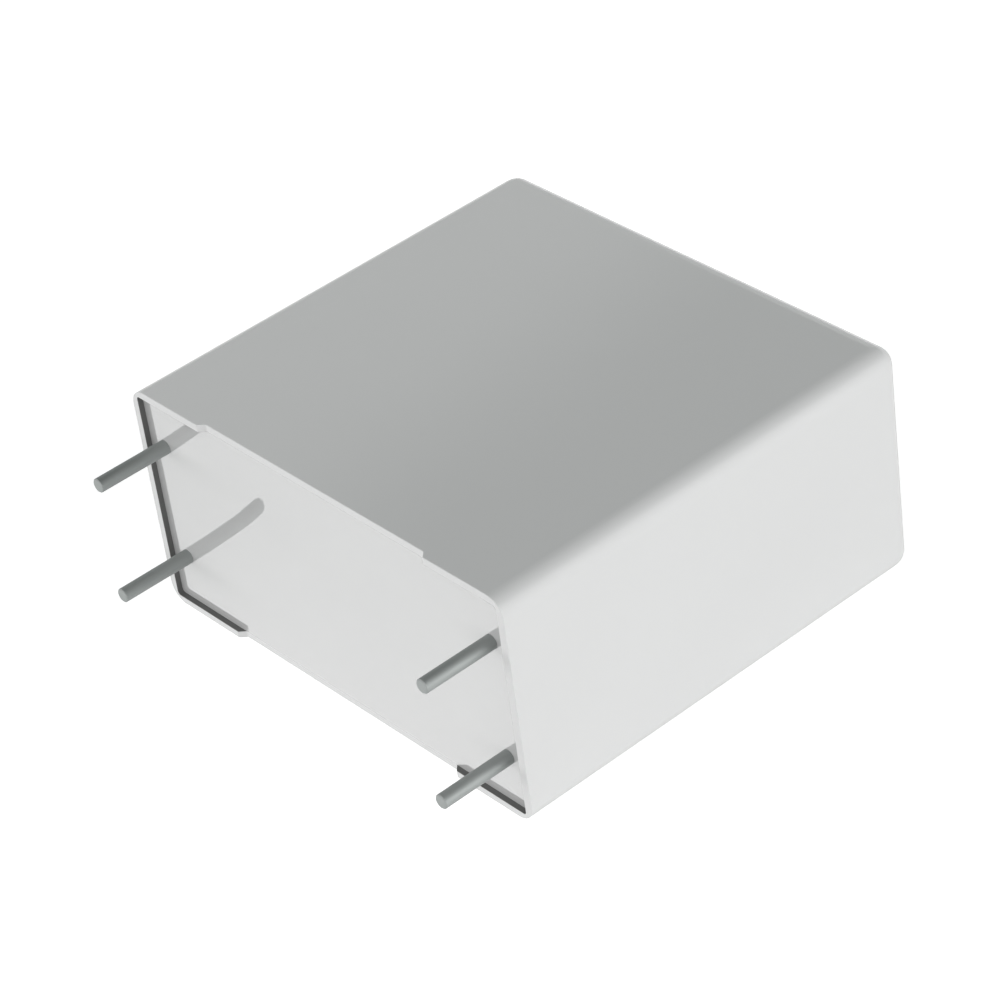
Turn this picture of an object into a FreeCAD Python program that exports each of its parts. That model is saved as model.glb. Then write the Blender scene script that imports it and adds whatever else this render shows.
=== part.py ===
"""Box film capacitor with four straight leads, in millimetres.

The part lies on one broad side, as a loose one does. X runs along the box from lead pair to
lead pair, Y from the open lead side to the closed side, and Z is up through the thickness.
The origin is the centre of the four leads in the plane of the box's rim, which is the plane
that sits on a circuit board. The leads point to -Y.
"""
import FreeCAD, Part
import math
import os
import Sketcher

SIZES = {
    "lead_pitch": (37.5, "lead axis to lead axis along the box"),
    "lead_row_pitch": (10.5, "lead axis to lead axis across the box"),
    "lead_diameter": (1.2, "tinned copper wire"),
    "lead_projection": (6.0, "lead past the rim"),
    "lead_overrun": (3.0, "lead past its second solder joint"),
    "lead_end_chamfer": (0.08, "burr-free edge of a wire's free end"),
    "case_height": (40.0, "rim to closed side"),
    "case_thickness": (20.2, "broad side to broad side"),
    "end_wall": (0.7, "wall beside each lead pair"),
    "broad_wall": (0.6, "wall of each broad side"),
    "closed_wall": (0.8, "wall opposite the leads"),
    "case_edge_radius": (1.6, "outer edges of the box"),
    "long_edge_radius": (0.3, "inner edges that run from the rim to the closed end"),
    "closed_end_bevel": (0.7, "inner edges round the closed end"),
    "foot_length": (8.3, "rim that stands on the board, from each end of the box"),
    "foot_height": (0.5, "how far the rim between the feet is cut back"),
    "foot_slope": (45.0, "slope of a foot's end, in degrees"),
    "rim_edge_radius": (0.07, "outer edge of the rim"),
    "lead_to_wall": (1.75, "lead axis to the end of the cavity"),
    "resin_recess": (0.5, "resin below the rim along the walls"),
    "resin_dish": (0.44, "how far the cured resin sinks in the middle"),
    "front_cover": (3.0, "rim to the windings"),
    "back_cover": (0.8, "resin between the windings and the closed wall"),
    "side_cover": (0.4, "resin between the windings and a broad wall"),
    "winding_gap": (0.2, "resin between the two windings"),
    "spray_thickness": (0.5, "sprayed metal on a winding's end"),
    "solder_film": (0.05, "solder between a lead and the sprayed metal"),
    "solder_radius": (2.0, "footprint of a solder joint"),
    "solder_over_lead": (0.25, "solder on the far side of a lead"),
    "first_solder_depth": (9.0, "rim to the first solder joint"),
    "solder_spacing": (11.0, "first to second solder joint of a lead"),
}

CAVITY_LENGTH = "(Sizes.lead_pitch + 2 * Sizes.lead_to_wall)"
CAVITY_THICKNESS = "(Sizes.case_thickness - 2 * Sizes.broad_wall)"
CAVITY_DEPTH = "(Sizes.case_height - Sizes.closed_wall)"
CASE_LENGTH = f"({CAVITY_LENGTH} + 2 * Sizes.end_wall)"
NOTCH_FLOOR = f"({CASE_LENGTH} - 2 * Sizes.foot_length - 2 * Sizes.foot_height / tan(Sizes.foot_slope * 1 deg))"
LEAD_X = "(Sizes.lead_pitch / 2)"
LEAD_Z = "(Sizes.lead_row_pitch / 2)"
SOLDER_DEPTHS = ["Sizes.first_solder_depth", "(Sizes.first_solder_depth + Sizes.solder_spacing)"]
LEAD_REACH = f"({SOLDER_DEPTHS[1]} + Sizes.lead_overrun)"
SPRAY_FACE = f"({LEAD_X} - Sizes.lead_diameter / 2 - Sizes.solder_film)"
FILM_HALF_WIDTH = f"({SPRAY_FACE} - Sizes.spray_thickness)"
WINDING_THICKNESS = f"({CAVITY_THICKNESS} / 2 - Sizes.side_cover - Sizes.winding_gap / 2)"
WINDING_HEIGHT = f"({CAVITY_DEPTH} - Sizes.back_cover - Sizes.front_cover)"
WINDING_Y = f"(Sizes.front_cover + {WINDING_HEIGHT} / 2)"
WINDING_Z = f"(Sizes.winding_gap / 2 + {WINDING_THICKNESS} / 2)"

SIDES = {"left": -1, "right": 1}
LEVELS = {"lower": -1, "upper": 1}
JOINT_NAMES = ["front", "back"]
NEAR = 1e-5

doc = FreeCAD.newDocument("box_film_capacitor")
sheet = doc.addObject("Spreadsheet::Sheet", "Sizes")


def fill_sheet():
    """Write each size's name, value and meaning in a row of its own."""
    for row, (name, (value, meaning)) in enumerate(SIZES.items(), start=1):
        sheet.set(f"A{row}", name)
        sheet.set(f"B{row}", str(value))
        sheet.setAlias(f"B{row}", name)
        sheet.set(f"C{row}", meaning)
    doc.recompute()


def number(expression):
    """Work out an expression on the sheet's sizes as a plain number."""
    result = sheet.evalExpression(expression)
    return float(getattr(result, "Value", result))


def add_body(label):
    body = doc.addObject("PartDesign::Body", label)
    body.Label = label
    return body


def add_sketch(body, name, plane_role, offset="0"):
    """Attach a new sketch to one of the body's own origin planes."""
    sketch = body.newObject("Sketcher::SketchObject", f"{body.Name}_{name}")
    plane = next(item for item in body.Origin.OriginFeatures if item.Role == plane_role)
    sketch.AttachmentSupport = [(plane, "")]
    sketch.MapMode = "FlatFace"
    sketch.setExpression("AttachmentOffset.Base.z", offset)
    return sketch


def constrain(sketch, name, kind, *places_and_size):
    """Add a named constraint whose size is the last argument, an expression."""
    *places, expression = places_and_size
    index = sketch.addConstraint(Sketcher.Constraint(kind, *places, number(expression)))
    sketch.renameConstraint(index, name)
    sketch.setExpression(f"Constraints.{name}", expression)


def draw_polygon(sketch, corners):
    """Draw a closed outline through the corners."""
    count = len(corners)
    for index in range(count):
        start = FreeCAD.Vector(*corners[index], 0)
        end = FreeCAD.Vector(*corners[(index + 1) % count], 0)
        sketch.addGeometry(Part.LineSegment(start, end), False)
    for index in range(count):
        sketch.addConstraint(Sketcher.Constraint("Coincident", index, 2, (index + 1) % count, 1))


def draw_rectangle(sketch, width, height):
    """Draw a rectangle about the sketch's origin."""
    half_width = number(width) / 2
    half_height = number(height) / 2
    draw_polygon(sketch, [
        (-half_width, -half_height),
        (half_width, -half_height),
        (half_width, half_height),
        (-half_width, half_height),
    ])
    for line in (0, 2):
        sketch.addConstraint(Sketcher.Constraint("Horizontal", line))
    for line in (1, 3):
        sketch.addConstraint(Sketcher.Constraint("Vertical", line))
    sketch.addConstraint(Sketcher.Constraint("Symmetric", 0, 1, 2, 1, -1, 1))
    constrain(sketch, "width", "DistanceX", 0, 1, 0, 2, width)
    constrain(sketch, "height", "DistanceY", 1, 1, 1, 2, height)


def draw_racetrack(sketch, length, thickness):
    """Draw two straight runs joined by half circles, about the sketch's origin."""
    radius = number(thickness) / 2
    straight = number(length) / 2 - radius
    right_centre = FreeCAD.Vector(straight, 0, 0)
    left_centre = FreeCAD.Vector(-straight, 0, 0)
    rise = FreeCAD.Vector(0, radius, 0)
    up = FreeCAD.Vector(0, 0, 1)
    quarter = math.pi / 2
    sketch.addGeometry(Part.LineSegment(left_centre + rise, right_centre + rise), False)
    sketch.addGeometry(Part.ArcOfCircle(Part.Circle(right_centre, up, radius), -quarter, quarter), False)
    sketch.addGeometry(Part.LineSegment(right_centre - rise, left_centre - rise), False)
    sketch.addGeometry(Part.ArcOfCircle(Part.Circle(left_centre, up, radius), quarter, 3 * quarter), False)
    for first, first_end, second, second_end in ((0, 2, 1, 2), (1, 1, 2, 1), (2, 2, 3, 2), (3, 1, 0, 1)):
        sketch.addConstraint(Sketcher.Constraint("Tangent", first, first_end, second, second_end))
    sketch.addConstraint(Sketcher.Constraint("Horizontal", 0))
    sketch.addConstraint(Sketcher.Constraint("Equal", 1, 3))
    sketch.addConstraint(Sketcher.Constraint("Symmetric", 1, 3, 3, 3, -1, 1))
    constrain(sketch, "radius", "Radius", 1, f"{thickness} / 2")
    constrain(sketch, "straight", "DistanceX", 3, 3, 1, 3, f"{length} - {thickness}")


def draw_circle(sketch, radius, centre_x="0"):
    """Draw a circle on the sketch's horizontal axis."""
    centre = FreeCAD.Vector(number(centre_x), 0, 0)
    sketch.addGeometry(Part.Circle(centre, FreeCAD.Vector(0, 0, 1), number(radius)), False)
    sketch.addConstraint(Sketcher.Constraint("PointOnObject", 0, 3, -1))
    constrain(sketch, "radius", "Radius", 0, radius)
    constrain(sketch, "centre", "DistanceX", -1, 1, 0, 3, centre_x)


def extrude(body, kind, sketch, length, midplane=False, reversed_way=False):
    """Pad or pocket a sketch by a length."""
    feature = body.newObject(f"PartDesign::{kind}", f"{sketch.Name}_{kind.lower()}")
    feature.Profile = sketch
    feature.setExpression("Length", length)
    feature.Midplane = midplane
    feature.Reversed = reversed_way
    sketch.Visibility = False
    doc.recompute()
    return feature


def soften(body, base, name, kind, size_name, size, chosen):
    """Fillet or chamfer the edges of the base feature that a test chooses."""
    edges = [f"Edge{index}" for index, edge in enumerate(base.Shape.Edges, start=1) if chosen(edge)]
    feature = body.newObject(f"PartDesign::{kind}", f"{body.Name}_{name}")
    feature.Base = (base, edges)
    feature.setExpression(size_name, size)
    doc.recompute()
    return feature


def place(piece, x="0", y="0", z="0", turned=False):
    """Put a piece where three expressions say, turned half round about Y if it is a left one."""
    if turned:
        piece.Placement = FreeCAD.Placement(FreeCAD.Vector(), FreeCAD.Rotation(FreeCAD.Vector(0, 1, 0), 180))
    piece.setExpression("Placement.Base.x", x)
    piece.setExpression("Placement.Base.y", y)
    piece.setExpression("Placement.Base.z", z)


def spans(edge, axis, low, high):
    """Say whether an edge reaches exactly from low to high along an axis."""
    box = edge.BoundBox
    ends = (getattr(box, axis + "Min"), getattr(box, axis + "Max"))
    return abs(ends[0] - low) < NEAR and abs(ends[1] - high) < NEAR


def within_cavity(edge):
    box = edge.BoundBox
    half_length = number(CAVITY_LENGTH) / 2 + NEAR
    half_thickness = number(CAVITY_THICKNESS) / 2 + NEAR
    return max(box.XMax, -box.XMin) < half_length and max(box.ZMax, -box.ZMin) < half_thickness


def touches_cavity(edge):
    half_length = number(CAVITY_LENGTH) / 2 + NEAR
    half_thickness = number(CAVITY_THICKNESS) / 2 + NEAR
    return any(abs(vertex.X) < half_length and abs(vertex.Z) < half_thickness for vertex in edge.Vertexes)


def ease_cavity(body, base):
    """Bevel the edges of the cavity's closed end, then round the four long ones that lead to it."""
    depth = number(CAVITY_DEPTH)
    floor = soften(body, base, "closed_end_edges", "Chamfer", "Size", "Sizes.closed_end_bevel",
                   lambda edge: within_cavity(edge) and spans(edge, "Y", depth, depth))
    start = depth - number("Sizes.closed_end_bevel")
    return soften(body, floor, "long_edges", "Fillet", "Radius", "Sizes.long_edge_radius",
                  lambda edge: within_cavity(edge) and abs(edge.BoundBox.YMax - start) < NEAR
                  and edge.BoundBox.YLength > start / 2)


def build_case():
    """Mould the box: a hollowed block, rounded outside, with its rim cut back between four feet."""
    body = add_body("case")
    outline = add_sketch(body, "outline", "XZ_Plane")
    draw_rectangle(outline, CASE_LENGTH, "Sizes.case_thickness")
    block = extrude(body, "Pad", outline, "Sizes.case_height", reversed_way=True)
    mouth = add_sketch(body, "mouth", "XZ_Plane")
    draw_rectangle(mouth, CAVITY_LENGTH, CAVITY_THICKNESS)
    hollow = extrude(body, "Pocket", mouth, CAVITY_DEPTH)
    hollow = ease_cavity(body, hollow)
    soften(body, hollow, "outer_edges", "Fillet", "Radius", "Sizes.case_edge_radius",
           lambda edge: not within_cavity(edge) and edge.BoundBox.YMax > NEAR)

    notch = add_sketch(body, "notch", "XY_Plane")
    depth = number("Sizes.foot_height")
    floor_half = number(NOTCH_FLOOR) / 2
    slope = math.tan(math.radians(number("Sizes.foot_slope")))
    mouth_half = floor_half + 2 * depth / slope
    draw_polygon(notch, [
        (-mouth_half, -depth),
        (mouth_half, -depth),
        (floor_half, depth),
        (-floor_half, depth),
    ])
    notch.addConstraint(Sketcher.Constraint("Symmetric", 0, 1, 0, 2, -2))
    notch.addConstraint(Sketcher.Constraint("Symmetric", 2, 1, 2, 2, -2))
    constrain(notch, "outside", "DistanceY", 0, 1, -1, 1, "Sizes.foot_height")
    constrain(notch, "depth", "DistanceY", -1, 1, 2, 1, "Sizes.foot_height")
    constrain(notch, "floor", "DistanceX", 2, 2, 2, 1, NOTCH_FLOOR)
    constrain(notch, "mouth", "DistanceX", 0, 1, 0, 2,
              f"{NOTCH_FLOOR} + 4 * Sizes.foot_height / tan(Sizes.foot_slope * 1 deg)")
    cut_back = extrude(body, "Pocket", notch, "2 * Sizes.case_thickness", midplane=True)
    soften(body, cut_back, "rim_edges", "Fillet", "Radius", "Sizes.rim_edge_radius",
           lambda edge: edge.BoundBox.YMax < depth + NEAR and not touches_cavity(edge))
    return body


def build_winding(name, level):
    """Wind metallised film into one flattened roll, its turns running round the X axis."""
    body = add_body(name)
    section = add_sketch(body, "section", "YZ_Plane")
    draw_racetrack(section, WINDING_HEIGHT, WINDING_THICKNESS)
    extrude(body, "Pad", section, f"2 * {FILM_HALF_WIDTH}", midplane=True)
    place(body, y=WINDING_Y, z=f"{level} * {WINDING_Z}")
    return body


def build_end_spray(name, side, level):
    """Spray metal on one end of a winding, in the roll's own outline."""
    body = add_body(name)
    section = add_sketch(body, "section", "YZ_Plane")
    draw_racetrack(section, WINDING_HEIGHT, WINDING_THICKNESS)
    extrude(body, "Pad", section, "Sizes.spray_thickness")
    place(body, f"{side} * {FILM_HALF_WIDTH}", WINDING_Y, f"{level} * {WINDING_Z}", turned=side < 0)
    return body


def build_lead(name, side, level):
    """Draw one straight wire: its free length up to the rim, then the length that is potted."""
    body = add_body(name)
    free_end = add_sketch(body, "free_end", "XZ_Plane", offset="Sizes.lead_projection")
    draw_circle(free_end, "Sizes.lead_diameter / 2")
    extrude(body, "Pad", free_end, "Sizes.lead_projection", reversed_way=True)
    at_rim = add_sketch(body, "at_rim", "XZ_Plane")
    draw_circle(at_rim, "Sizes.lead_diameter / 2")
    wire = extrude(body, "Pad", at_rim, LEAD_REACH, reversed_way=True)
    wire.Refine = False
    doc.recompute()
    end = soften(body, wire, "cut_end", "Chamfer", "Size", "Sizes.lead_end_chamfer",
                 lambda edge: isinstance(edge.Curve, Part.Circle) and edge.CenterOfMass.y < -NEAR)
    end.Refine = False
    doc.recompute()
    place(body, f"{side} * {LEAD_X}", "0", f"{level} * {LEAD_Z}")
    return body


def build_solder(name, side, level, depth):
    """Set a low round button of solder on the sprayed metal, with its lead running through it."""
    body = add_body(name)
    height = "(Sizes.solder_film + Sizes.lead_diameter + Sizes.solder_over_lead)"
    foot = add_sketch(body, "foot", "YZ_Plane")
    draw_circle(foot, "Sizes.solder_radius")
    extrude(body, "Pad", foot, height)
    tunnel = add_sketch(body, "tunnel", "XZ_Plane")
    draw_circle(tunnel, "Sizes.lead_diameter / 2", "Sizes.solder_film + Sizes.lead_diameter / 2")
    extrude(body, "Pocket", tunnel, "3 * Sizes.solder_radius", midplane=True)
    place(body, f"{side} * {SPRAY_FACE}", depth, f"{level} * {LEAD_Z}", turned=side < 0)
    return body


def build_dish_cutter():
    """Make the space above the resin: a block whose underside is a shallow dish.

    The dish is one patch of degree two both ways. Its edges lie straight along the walls, and
    its middle pole is four times the dish's depth below them, which puts its middle one depth
    below them.
    """
    half_length = number(CAVITY_LENGTH) / 2
    half_thickness = number(CAVITY_THICKNESS) / 2
    edge = number("Sizes.resin_recess")
    dish = number("Sizes.resin_dish")
    patch = Part.BezierSurface()
    patch.increase(2, 2)
    for row, x in enumerate((-half_length, 0, half_length), start=1):
        for column, z in enumerate((-half_thickness, 0, half_thickness), start=1):
            middle = row == 2 and column == 2
            y = edge + 4 * dish if middle else edge
            patch.setPole(row, column, FreeCAD.Vector(x, y, z))
    front = -edge
    corners = [
        FreeCAD.Vector(x, front, z)
        for x, z in (
            (-half_length, -half_thickness),
            (half_length, -half_thickness),
            (half_length, half_thickness),
            (-half_length, half_thickness),
        )
    ]
    depth = FreeCAD.Vector(0, edge - front, 0)
    faces = [patch.toShape(), Part.Face(Part.makePolygon(corners + corners[:1]))]
    for index in range(4):
        start = corners[index]
        end = corners[(index + 1) % 4]
        side = Part.makePolygon([start, end, end + depth, start + depth, start])
        faces.append(Part.Face(side))
    shell = Part.Shell(faces)
    shell.sewShape()
    cutter = doc.addObject("Part::Feature", "dish_cutter")
    cutter.Shape = Part.Solid(shell)
    return cutter


def build_resin(contents):
    """Cast resin round everything in the box, up to its dished surface."""
    block = add_body("resin_block")
    outline = add_sketch(block, "outline", "XZ_Plane", offset="-Sizes.resin_recess")
    draw_rectangle(outline, CAVITY_LENGTH, CAVITY_THICKNESS)
    cast = extrude(block, "Pad", outline, f"{CAVITY_DEPTH} - Sizes.resin_recess", reversed_way=True)
    ease_cavity(block, cast)

    dished = doc.addObject("Part::Cut", "dished_block")
    dished.Base = block
    dished.Tool = build_dish_cutter()
    held = doc.addObject("Part::MultiFuse", "held_by_resin")
    held.Shapes = contents
    resin = doc.addObject("Part::Cut", "potting_resin")
    resin.Label = "potting_resin"
    resin.Base = dished
    resin.Tool = held
    resin.Refine = False
    return resin


def build_contents():
    """Build everything that the resin holds."""
    pieces = []
    for level_name, level in LEVELS.items():
        pieces.append(build_winding(f"winding_{level_name}", level))
        for side_name, side in SIDES.items():
            place_name = f"{side_name}_{level_name}"
            pieces.append(build_end_spray(f"end_spray_{place_name}", side, level))
            pieces.append(build_lead(f"lead_{place_name}", side, level))
            for joint_name, depth in zip(JOINT_NAMES, SOLDER_DEPTHS):
                name = f"solder_{place_name}_{joint_name}"
                pieces.append(build_solder(name, side, level, depth))
    return pieces


def check(pieces):
    """Stop if anything in the document failed or a piece isn't one sound solid."""
    for item in doc.Objects:
        if {"Invalid", "Error"} & set(item.State):
            raise RuntimeError(f"{item.Name} failed: {item.State}")
    for piece in pieces:
        shape = piece.Shape
        if shape.isNull() or not shape.isValid() or len(shape.Solids) != 1:
            raise RuntimeError(f"{piece.Label} is not one valid solid")


def export(pieces):
    os.makedirs("parts", exist_ok=True)
    for piece in pieces:
        piece.Shape.exportStep(f"parts/{piece.Label}.step")
        box = piece.Shape.optimalBoundingBox(False)
        print(f"{piece.Label:28s} {piece.Shape.Volume:10.2f} mm3  "
              f"X {box.XMin:7.2f} {box.XMax:7.2f}  Y {box.YMin:7.2f} {box.YMax:7.2f}  "
              f"Z {box.ZMin:7.2f} {box.ZMax:7.2f}")


fill_sheet()
case = build_case()
contents = build_contents()
resin = build_resin(contents)
doc.recompute()
pieces = [case, resin] + contents
check(pieces)
export(pieces)
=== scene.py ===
"""Looks of the box film capacitor: materials, light, floor and camera."""
import math

import bpy
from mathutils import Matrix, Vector


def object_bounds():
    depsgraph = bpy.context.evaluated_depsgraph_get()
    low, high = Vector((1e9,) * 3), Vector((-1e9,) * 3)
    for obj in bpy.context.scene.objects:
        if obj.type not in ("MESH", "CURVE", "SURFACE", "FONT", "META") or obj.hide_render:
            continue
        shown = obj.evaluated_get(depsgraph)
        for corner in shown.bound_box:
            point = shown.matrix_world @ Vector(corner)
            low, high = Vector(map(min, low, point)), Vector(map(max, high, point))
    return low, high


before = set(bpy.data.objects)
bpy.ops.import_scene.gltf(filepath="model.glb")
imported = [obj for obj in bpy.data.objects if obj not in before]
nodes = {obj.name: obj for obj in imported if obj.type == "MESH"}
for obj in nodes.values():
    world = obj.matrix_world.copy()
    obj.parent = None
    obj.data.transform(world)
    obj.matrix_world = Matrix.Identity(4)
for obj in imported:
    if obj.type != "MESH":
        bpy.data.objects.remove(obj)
cad_box = [list(corner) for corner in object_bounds()]
low_corner, high_corner = cad_box

MM = 0.001

# The box's walls, how deep its open side can be seen into, and the slack beside its faces: these bound the
# shade painted on the inner walls.
END_WALL = 0.7 * MM
BROAD_WALL = 0.6 * MM
MOUTH_DEPTH = 5.0 * MM
WALL_MARGIN = 0.002 * MM
RIM_MARGIN = 0.02 * MM

# How far a surface faces up or down where the smooth skin of the broad sides ends, and where it is whole.
SKIN_ENDS = 0.55
SKIN_WHOLE = 0.80

# The floor's half width, its gap under the part, and the glow that lifts it to plain white in view.
FLOOR_HALF_WIDTH = 3.0
FLOOR_GAP = 0.02 * MM
FLOOR_LIFT = 0.62

# Where the photograph was taken from: millimetres, and degrees about X, Y and Z.
CAMERA_PLACE = (181.316, -120.676, 162.144)
CAMERA_TURN = (54.150, 6.688, 47.916)
CAMERA_LENS = 132.19
SENSOR_WIDTH = 36.0

WHITE = (1.0, 1.0, 1.0)
# The tint of the shade painted on the inner walls of the open side.
PAINTED_SHADE_TINT = (1.0, 1.0, 0.98)
THIN_TIN_TINT = (0.95, 1.0, 0.985)
THICK_TIN_TINT = (0.955, 1.0, 0.985)
FILM_TINT = (1.0, 0.99, 0.95)
FILM_EDGE_TINT = (1.0, 0.99, 0.96)
WALL_TOP_TINT = (0.97, 1.0, 0.985)
CEILING_TINT = (0.82, 1.0, 0.94)


class Value:
    """A shader socket that takes part in Python expressions."""

    def __init__(self, tree, socket):
        self.tree = tree
        self.socket = socket

    def _maths(self, operation, *inputs):
        node = self.tree.nodes.new("ShaderNodeMath")
        node.operation = operation
        for index, item in enumerate(inputs):
            put(self.tree, node.inputs[index], item)
        return Value(self.tree, node.outputs[0])

    def __add__(self, other):
        return self._maths("ADD", self, other)

    def __sub__(self, other):
        return self._maths("SUBTRACT", self, other)

    def __rsub__(self, other):
        return self._maths("SUBTRACT", other, self)

    def __mul__(self, other):
        return self._maths("MULTIPLY", self, other)

    def __abs__(self):
        return self._maths("ABSOLUTE", self)

    __radd__ = __add__
    __rmul__ = __mul__

    def less_than(self, other):
        return self._maths("LESS_THAN", self, other)

    def at_least(self, other):
        return self._maths("MAXIMUM", self, other)

    def beside(self, name):
        """Another output of the same node."""
        return Value(self.tree, self.socket.node.outputs[name])


def put(tree, socket, item):
    """Set a socket to a number, colour or vector, or link a value to it."""
    if isinstance(item, Value):
        tree.links.new(item.socket, socket)
    else:
        socket.default_value = item


class Shader:
    """A node tree of a material or of the world, cleared and ready to be built."""

    def __init__(self, owner, output):
        owner.use_nodes = True
        self.owner = owner
        self.tree = owner.node_tree
        self.tree.nodes.clear()
        self.output = self.tree.nodes.new(output)

    def node(self, kind, settings=None, out=0, **inputs):
        """Add a node: its settings first, then its sockets.

        A socket goes by its name with _ for a space, or by its number, such as i0.
        """
        node = self.tree.nodes.new("ShaderNode" + kind)
        for name, setting in (settings or {}).items():
            if name == "stops":
                self._set_stops(node.color_ramp, setting)
            else:
                setattr(node, name, setting)
        for name, item in inputs.items():
            place = int(name[1:]) if name[0] == "i" and name[1:].isdigit() else name.replace("_", " ")
            put(self.tree, node.inputs[place], item)
        return Value(self.tree, node.outputs[out])

    @staticmethod
    def _set_stops(ramp, stops):
        while len(ramp.elements) > 1:
            ramp.elements.remove(ramp.elements[-1])
        for index, (place, colour) in enumerate(stops):
            element = ramp.elements[0] if index == 0 else ramp.elements.new(place)
            element.position = place
            element.color = colour

    def part(self, vector, axis):
        """One coordinate of a vector."""
        return self.node("SeparateXYZ", out="XYZ".index(axis), i0=vector)

    def show(self, shader):
        self.tree.links.new(shader.socket, self.output.inputs["Surface"])
        return self.owner


class Finish(Shader):
    """One material's node tree, with shorthands for what the finishes need."""

    def __init__(self, name):
        super().__init__(bpy.data.materials.new(name), "ShaderNodeOutputMaterial")

    def place(self):
        """The surface point in the object's own frame, in metres."""
        return self.node("TexCoord", out=3)

    def outward(self):
        """The direction that the surface faces, in the object's own frame."""
        return self.node("TexCoord", out=1)

    def stretched(self, *shares):
        """The surface point with each coordinate scaled, so that noise runs long where the share is small."""
        return self.node("VectorMath", {"operation": "MULTIPLY"}, i0=self.place(), i1=shares)

    def noise(self, size, detail=2.0, roughness=0.5, vector=None):
        """Soft random variation whose blobs are about size metres across."""
        return self.node("TexNoise", Vector=vector or self.place(), Scale=1.0 / size, Detail=detail,
                         Roughness=roughness)

    def blend(self, factor, first, second):
        """Mix two colours by a factor."""
        return self.node("Mix", {"data_type": "RGBA"}, out=2, i0=factor, i6=first, i7=second)

    def bump(self, height, distance):
        return self.node("Bump", Height=height, Distance=distance)

    def surface(self, **inputs):
        return self.show(self.node("BsdfPrincipled", **inputs))


def grey(level, tint=WHITE):
    return tuple(level * part for part in tint) + (1.0,)


def moulded_plastic():
    """Pale grey moulded plastic, with shade painted on the walls of the open side as a dark colour.

    The grain is fine all over, and a smoother skin on the broad sides runs out on their rounded edges.
    """
    finish = Finish("moulded_plastic")
    place = finish.place()
    depth = finish.part(place, "Y")
    # The inner walls of the open side, which are coloured dark as painted shade.
    across = abs(finish.part(place, "X")).less_than(high_corner[0] - END_WALL + WALL_MARGIN)
    through = abs(finish.part(place, "Z")).less_than(high_corner[2] - BROAD_WALL + WALL_MARGIN)
    behind_rim = 1 - depth.less_than(RIM_MARGIN)
    painted_shade_inside = across * through * behind_rim * depth.less_than(MOUTH_DEPTH)
    cloud = finish.noise(18 * MM, detail=3.0)
    outer = finish.blend(cloud, grey(0.70), grey(0.73))
    # Painted shade: the inner walls get a dark grey colour in place of the pale plastic.
    colour = finish.blend(painted_shade_inside, outer, grey(0.12, PAINTED_SHADE_TINT))
    grain = finish.noise(0.25 * MM, detail=4.0, roughness=0.6)
    sheen = finish.noise(6 * MM)
    broad = abs(finish.part(finish.outward(), "Z"))
    skin = finish.node("MapRange", {"interpolation_type": "SMOOTHSTEP"}, Value=broad,
                       From_Min=SKIN_ENDS, From_Max=SKIN_WHOLE)
    return finish.surface(
        Base_Color=colour,
        Roughness=sheen * 0.08 + 0.58,
        IOR=1.46,
        Coat_Weight=skin * (1 - painted_shade_inside),
        Coat_Roughness=0.09,
        Coat_IOR=1.6,
        Normal=finish.bump(grain, 0.004 * MM),
    )


def cast_resin():
    """Pale glossy resin that levelled itself while it cured, with a faint ripple."""
    finish = Finish("cast_resin")
    cloud = finish.noise(9 * MM, detail=3.0)
    ripple = finish.noise(5 * MM, detail=1.0)
    return finish.surface(
        Base_Color=finish.blend(cloud, grey(0.515), grey(0.545)),
        Roughness=finish.noise(2 * MM) * 0.01 + 0.015,
        IOR=3.2,
        Normal=finish.bump(ripple, 0.004 * MM),
    )


def tinned_wire():
    """Drawn wire with a dull tin coat: fine lines along it and faint clouding."""
    finish = Finish("tinned_wire")
    lines = finish.noise(0.06 * MM, vector=finish.stretched(1.0, 0.04, 1.0))
    cloud = finish.noise(1.5 * MM, detail=3.0)
    return finish.surface(
        Base_Color=finish.blend(cloud, grey(0.345, THIN_TIN_TINT), grey(0.395, THICK_TIN_TINT)),
        Metallic=0.75,
        Roughness=cloud * 0.10 + 0.60,
        Normal=finish.bump(lines, 0.002 * MM),
    )


def metallised_film():
    """Clear film with a thin metal layer, seen as bright turns on edge."""
    finish = Finish("metallised_film")
    turns = finish.noise(0.12 * MM, vector=finish.stretched(0.05, 1.0, 1.0))
    return finish.surface(
        Base_Color=finish.blend(turns, grey(0.62, FILM_TINT), grey(0.78, FILM_EDGE_TINT)),
        Metallic=0.6,
        Roughness=turns * 0.1 + 0.25,
        Normal=finish.bump(turns, 0.01 * MM),
    )


def sprayed_metal():
    """Rough grey metal, built up from small drops."""
    finish = Finish("sprayed_metal")
    drops = finish.noise(0.3 * MM, detail=5.0, roughness=0.65)
    return finish.surface(
        Base_Color=finish.blend(drops, grey(0.40), grey(0.56)),
        Metallic=0.8,
        Roughness=drops * 0.2 + 0.5,
        Normal=finish.bump(drops, 0.05 * MM),
    )


def soft_solder():
    """Bright solder with a slightly frosted skin."""
    finish = Finish("soft_solder")
    frost = finish.noise(0.5 * MM, detail=4.0)
    return finish.surface(
        Base_Color=finish.blend(frost, grey(0.60), grey(0.72)),
        Metallic=1.0,
        Roughness=frost * 0.2 + 0.2,
        Normal=finish.bump(frost, 0.01 * MM),
    )


def dress_nodes():
    """Give each piece the finish that belongs to the start of its name."""
    finishes = {
        "case": moulded_plastic(),
        "potting_resin": cast_resin(),
        "winding": metallised_film(),
        "end_spray": sprayed_metal(),
        "lead": tinned_wire(),
        "solder": soft_solder(),
    }
    for name, piece in nodes.items():
        finish = next(item for start, item in finishes.items() if name.startswith(start))
        piece.data.materials.clear()
        piece.data.materials.append(finish)


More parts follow.
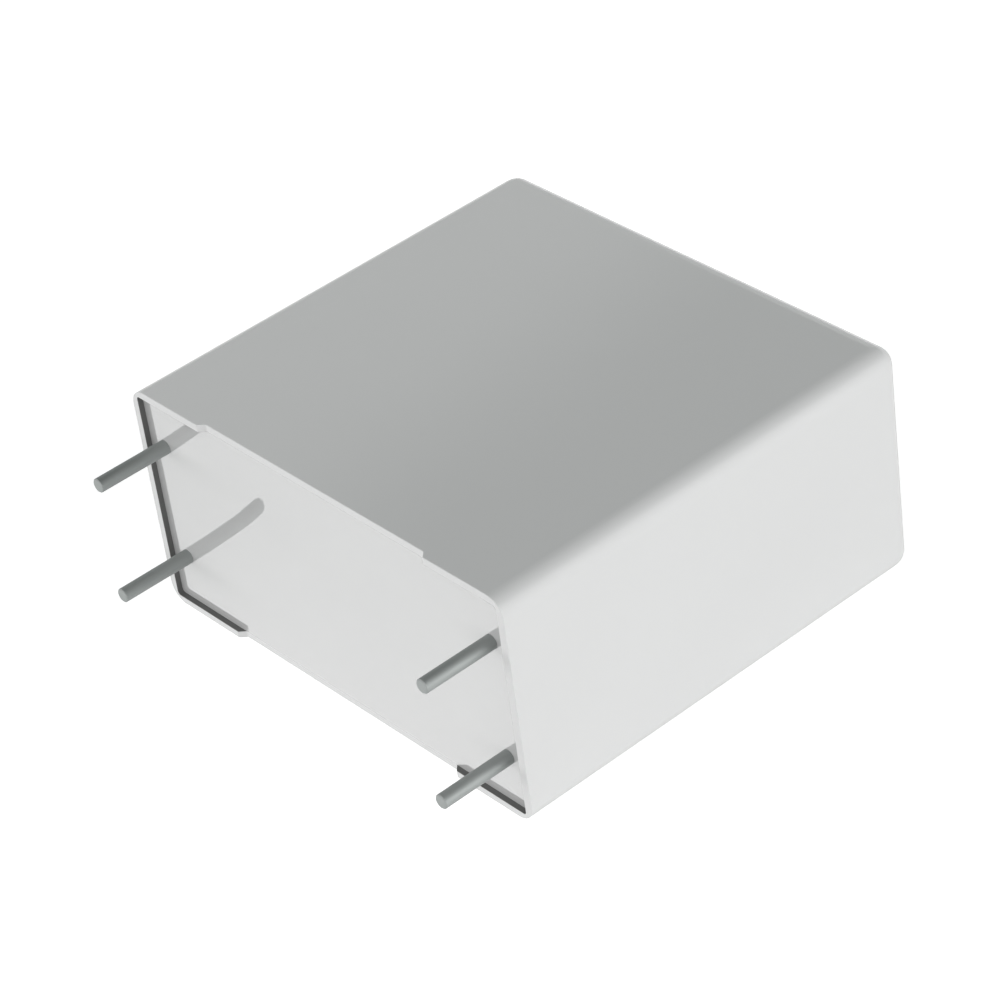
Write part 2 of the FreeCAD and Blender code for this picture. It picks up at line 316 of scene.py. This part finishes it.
def white_sheet():
    """Matt white that the camera, mirrors and clear things see as plain white, with its shadows kept."""
    finish = Finish("white_sheet")
    sheet = finish.node("BsdfDiffuse", Color=grey(0.9))
    lift = finish.node("Emission", Color=grey(1.0), Strength=FLOOR_LIFT)
    lifted = finish.node("AddShader", i0=sheet, i1=lift)
    direct = finish.node("LightPath")
    seen = direct.at_least(direct.beside("Is Glossy Ray")).at_least(direct.beside("Is Transmission Ray"))
    return finish.show(finish.node("MixShader", i0=seen, i1=sheet, i2=lifted))


def white_floor():
    """A wide white sheet that shows as plain white and keeps the part's soft shadow."""
    half = FLOOR_HALF_WIDTH
    mesh = bpy.data.meshes.new("floor")
    corners = [(-half, -half, 0), (half, -half, 0), (half, half, 0), (-half, half, 0)]
    mesh.from_pydata(corners, [], [(0, 1, 2, 3)])
    mesh.materials.append(white_sheet())
    floor = bpy.data.objects.new("floor", mesh)
    floor.location.z = low_corner[2] - FLOOR_GAP
    bpy.context.collection.objects.link(floor)


# The room's shades along an axis that points up and leans towards +Y.
ROOM_AXIS = (0.0, 0.40, 0.9165)
ROOM_SHADES = [
    (0.0, grey(0.80)),
    (0.45, grey(0.80)),
    (0.70, grey(0.80, WALL_TOP_TINT)),
    (0.722, grey(0.15, CEILING_TINT)),
    (0.85, grey(0.11, CEILING_TINT)),
    (1.0, grey(0.05, CEILING_TINT)),
]


def pale_room():
    """A studio room with a dim ceiling, and pale walls that reach higher on the -Y side than on +Y."""
    world = bpy.data.worlds.new("studio")
    bpy.context.scene.world = world
    room = Shader(world, "ShaderNodeOutputWorld")
    direction = room.node("TexCoord")
    height = room.node("VectorMath", {"operation": "DOT_PRODUCT"}, out=1, i0=direction, i1=ROOM_AXIS)
    shade = room.node("ValToRGB", {"stops": ROOM_SHADES}, Fac=height)
    room.show(room.node("Background", Color=shade, Strength=1.0))


def softbox(name, azimuth, elevation, distance, width, height, power):
    """Aim an oblong soft light at the box's middle; azimuth 0 stands on the -Y side and 90 on +X."""
    data = bpy.data.lights.new(name, "AREA")
    data.shape = "RECTANGLE"
    data.size = width
    data.size_y = height
    data.energy = power
    lamp = bpy.data.objects.new(name, data)
    across = math.radians(azimuth)
    up = math.radians(elevation)
    away = Vector((math.sin(across) * math.cos(up), -math.cos(across) * math.cos(up), math.sin(up)))
    middle = Vector((0.0, high_corner[1] / 2, 0.0))
    lamp.location = middle + away * distance
    lamp.rotation_mode = "QUATERNION"
    lamp.rotation_quaternion = (-away).to_track_quat("-Z", "Y")
    bpy.context.collection.objects.link(lamp)


def photo_camera():
    """Stand the camera where the photograph was taken from."""
    data = bpy.data.cameras.new("camera")
    data.sensor_width = SENSOR_WIDTH
    data.lens = CAMERA_LENS
    data.clip_start = 0.01
    data.clip_end = 20.0
    camera = bpy.data.objects.new("camera", data)
    camera.location = Vector(CAMERA_PLACE) * MM
    camera.rotation_euler = [math.radians(angle) for angle in CAMERA_TURN]
    bpy.context.collection.objects.link(camera)
    bpy.context.scene.camera = camera


dress_nodes()
white_floor()
pale_room()
softbox("right_light", azimuth=118, elevation=6, distance=1.4, width=1.4, height=0.29, power=9.5)
softbox("front_light", azimuth=-10, elevation=7, distance=0.7, width=1.6, height=0.19, power=2.5)
photo_camera()

bpy.context.scene.view_settings.view_transform = "Standard"
